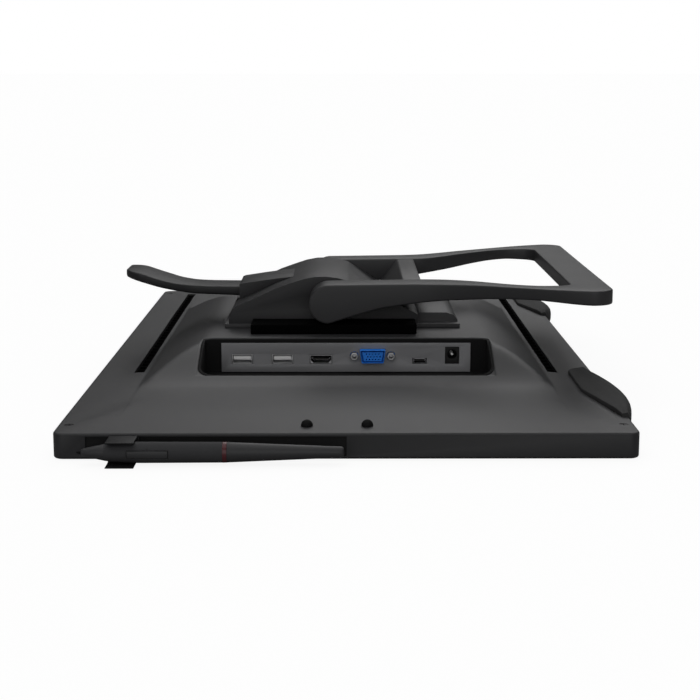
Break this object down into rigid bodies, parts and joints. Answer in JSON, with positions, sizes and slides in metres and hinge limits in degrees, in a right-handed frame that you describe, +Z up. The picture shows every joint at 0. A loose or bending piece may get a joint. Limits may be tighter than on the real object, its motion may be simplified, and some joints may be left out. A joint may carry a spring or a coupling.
{
  "type": "pen display",
  "caption": "Pen display lying face down, with a folding loop stand, a release lever, a recessed port bay, rubber feet and a pen in a side cradle.",
  "frame": {"origin": "middle of the screen's glass, on the plane the part rests on", "axes": "+Z up out of the back, +Y along the long side away from the ports and the pen, +X across the short side towards the edge with the rubber feet"},
  "size_m": [0.3463, 0.5925, 0.0753],
  "materials": {
    "board_green": "solder mask",
    "bronze": "sintered",
    "case_black": "fine matte moulded",
    "coil": "wound wire on ferrite",
    "deep_black": "matte",
    "dial_black": "satin",
    "diffuser": "acrylic light guide",
    "frame_black": "matte moulded",
    "glass_black": "etched glass over a dark panel",
    "grip_black": "soft touch",
    "leg_black": "fine matte paint",
    "lining": "brake lining",
    "panel": "liquid crystal cell",
    "pen_black": "satin",
    "pen_grey": "satin",
    "pen_red": "anodised look",
    "plate_grey": "matte",
    "rubber_black": "soft",
    "screw_black": "blackened",
    "socket_metal": "tin plated",
    "steel": "turned",
    "video_blue": "moulded",
    "zinc": "zinc plated sheet"
  },
  "bodies": {
    "case": {"front_frame": "frame_black", "cover_glass": "glass_black", "screen_panel": "panel", "backlight": "diffuser", "pen_sensor": "board_green", "shield_plate": "zinc", "back_cover": "case_black", "port_bay": "deep_black", "port_plate": "plate_grey", "main_board": "board_green", "data_port_1": "socket_metal", "data_port_2": "socket_metal", "picture_port": "socket_metal", "video_shell": "video_blue", "video_insert": "video_blue", "video_studs": "socket_metal", "oval_port": "socket_metal", "power_jack": "deep_black", "vent_top": "deep_black", "vent_bottom": "deep_black", "case_screws": "screw_black", "slope_plugs": "deep_black", "foot_near": "rubber_black", "foot_far": "rubber_black", "pen_cradle": "deep_black", "key_boards": "board_green", "encoders": "screw_black", "power_switch": "screw_black", "stand_base": "case_black", "base_screws": "steel", "hinge_beds": "deep_black", "hub_shell": "case_black", "lever_housing": "case_black", "bushes": "bronze", "lever_spring": "steel", "lever_pin": "steel"},
    "leg": {"leg_frame": "leg_black", "hinge_shaft": "steel", "brake_drum": "steel", "leg_pad": "rubber_black"},
    "lever": {"release_lever": "leg_black", "brake_shoe": "lining"},
    "pen": {"pen_grip": "grip_black", "pen_barrel": "pen_black", "pen_ring": "pen_red", "pen_cone": "pen_grey", "pen_core": "coil"},
    "nib": {"pen_nib": "deep_black"},
    "switch": {"pen_switch": "pen_grey"},
    "dial_near": {"dial_near": "dial_black"},
    "dial_far": {"dial_far": "dial_black"},
    "power": {"power_button": "pen_black"},
    "key_near_1": {"key_near_1": "pen_black"},
    "key_near_2": {"key_near_2": "pen_black"},
    "key_near_3": {"key_near_3": "pen_black"},
    "key_near_4": {"key_near_4": "pen_black"},
    "key_far_1": {"key_far_1": "pen_black"},
    "key_far_2": {"key_far_2": "pen_black"},
    "key_far_3": {"key_far_3": "pen_black"},
    "key_far_4": {"key_far_4": "pen_black"}
  },
  "joints": [
    {"name": "leg_fold", "type": "hinge", "parent": "case", "child": "leg", "pos_m": [-0.012, 0, 0.0585], "axis": [0, -1, 0], "range_deg": [0, 75]},
    {"name": "lever_press", "type": "hinge", "parent": "case", "child": "lever", "pos_m": [-0.06, 0, 0.0575], "axis": [0, -1, 0], "range_deg": [0, 3.5], "stiffness_Nm_per_rad": 20, "springref_deg": -1.72, "deforming": ["lever_spring"]},
    {"name": "pen_pull", "type": "slide", "parent": "case", "child": "pen", "axis": [0, -1, 0], "range_m": [0, 0.04]},
    {"name": "nib_press", "type": "slide", "parent": "pen", "child": "nib", "axis": [1, 0, 0], "range_m": [0, 0.0006], "stiffness_N_per_m": 900, "springref_m": -0.0003},
    {"name": "switch_rock", "type": "hinge", "parent": "pen", "child": "switch", "pos_m": [-0.11125, -0.3016, 0.0071], "axis": [0, 0, 1], "range_deg": [-2, 2], "stiffness_Nm_per_rad": 0.3},
    {"name": "dial_near_turn", "type": "hinge", "parent": "case", "child": "dial_near", "pos_m": [0, -0.266, 0.002], "axis": [0, 0, 1], "continuous": true},
    {"name": "dial_far_turn", "type": "hinge", "parent": "case", "child": "dial_far", "pos_m": [0, 0.266, 0.002], "axis": [0, 0, 1], "continuous": true},
    {"name": "power_press", "type": "slide", "parent": "case", "child": "power", "axis": [1, 0, 0], "range_m": [0, 0.0005], "stiffness_N_per_m": 3000, "springref_m": -0.0003},
    {"name": "key_near_1_press", "type": "slide", "parent": "case", "child": "key_near_1", "axis": [0, 0, 1], "range_m": [0, 0.0004], "stiffness_N_per_m": 3000, "springref_m": -0.0003},
    {"name": "key_near_2_press", "type": "slide", "parent": "case", "child": "key_near_2", "axis": [0, 0, 1], "range_m": [0, 0.0004], "stiffness_N_per_m": 3000, "springref_m": -0.0003},
    {"name": "key_near_3_press", "type": "slide", "parent": "case", "child": "key_near_3", "axis": [0, 0, 1], "range_m": [0, 0.0004], "stiffness_N_per_m": 3000, "springref_m": -0.0003},
    {"name": "key_near_4_press", "type": "slide", "parent": "case", "child": "key_near_4", "axis": [0, 0, 1], "range_m": [0, 0.0004], "stiffness_N_per_m": 3000, "springref_m": -0.0003},
    {"name": "key_far_1_press", "type": "slide", "parent": "case", "child": "key_far_1", "axis": [0, 0, 1], "range_m": [0, 0.0004], "stiffness_N_per_m": 3000, "springref_m": -0.0003},
    {"name": "key_far_2_press", "type": "slide", "parent": "case", "child": "key_far_2", "axis": [0, 0, 1], "range_m": [0, 0.0004], "stiffness_N_per_m": 3000, "springref_m": -0.0003},
    {"name": "key_far_3_press", "type": "slide", "parent": "case", "child": "key_far_3", "axis": [0, 0, 1], "range_m": [0, 0.0004], "stiffness_N_per_m": 3000, "springref_m": -0.0003},
    {"name": "key_far_4_press", "type": "slide", "parent": "case", "child": "key_far_4", "axis": [0, 0, 1], "range_m": [0, 0.0004], "stiffness_N_per_m": 3000, "springref_m": -0.0003}
  ]
}
